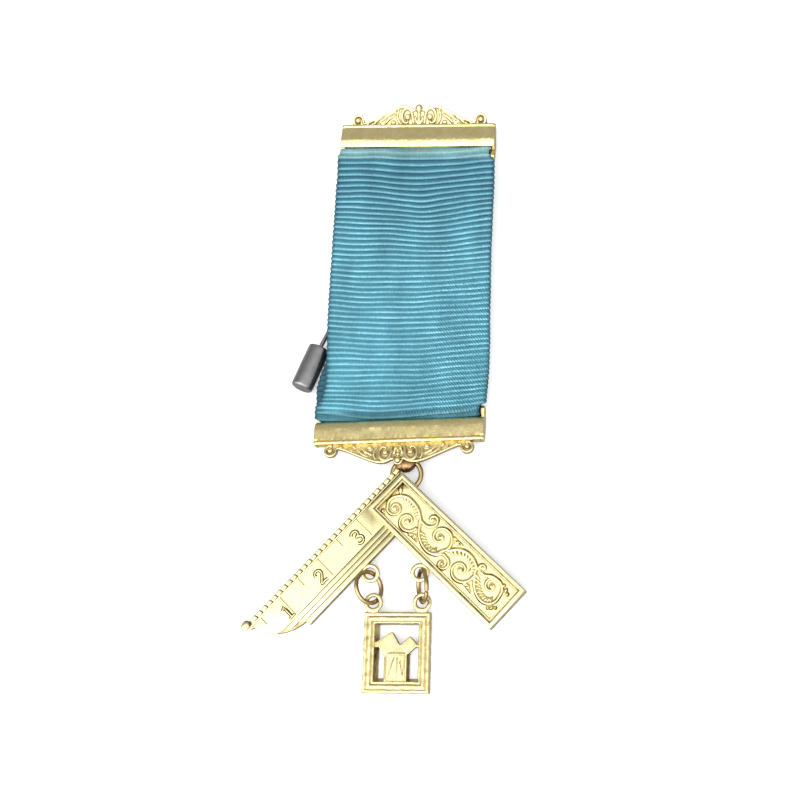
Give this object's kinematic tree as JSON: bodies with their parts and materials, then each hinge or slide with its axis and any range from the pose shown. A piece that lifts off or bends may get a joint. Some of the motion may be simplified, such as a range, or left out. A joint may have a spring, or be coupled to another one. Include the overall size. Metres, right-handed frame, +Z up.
{
  "type": "masonic jewel",
  "caption": "Gilt masonic past master's breast jewel on a pale blue ribbon: scrolled bars, a square and a hanging framed geometric figure, with a stick pin.",
  "frame": {"origin": "middle of the underside of the jewel as it lies face up", "axes": "+Z up off the table, +Y along the ribbon towards the brooch bar, +X to the right of the jewel seen from above"},
  "size_m": [0.059, 0.1358, 0.0083],
  "materials": {
    "gilt": "polished gilt, lightly worn",
    "ring_gilt": "polished wire, tarnished a little darker",
    "ribbon_silk": "ribbed watered silk",
    "pin_steel": "dull grey steel"
  },
  "bodies": {
    "jewel": {"upper_bar": "gilt", "upper_rod": "ring_gilt", "ribbon": "ribbon_silk", "lower_rod": "ring_gilt", "lower_bar": "gilt", "suspension_ring": "ring_gilt", "square": "gilt", "jump_ring_left": "ring_gilt", "jump_ring_right": "ring_gilt", "proposition_plate": "gilt", "stick_pin": "pin_steel"},
    "clutch": {"pin_clutch": "pin_steel"}
  },
  "joints": [
    {"name": "clutch_slide", "type": "slide", "parent": "jewel", "child": "clutch", "axis": [-0.3693, -0.9288, 0.0297], "range_m": [0, 0.015]}
  ]
}
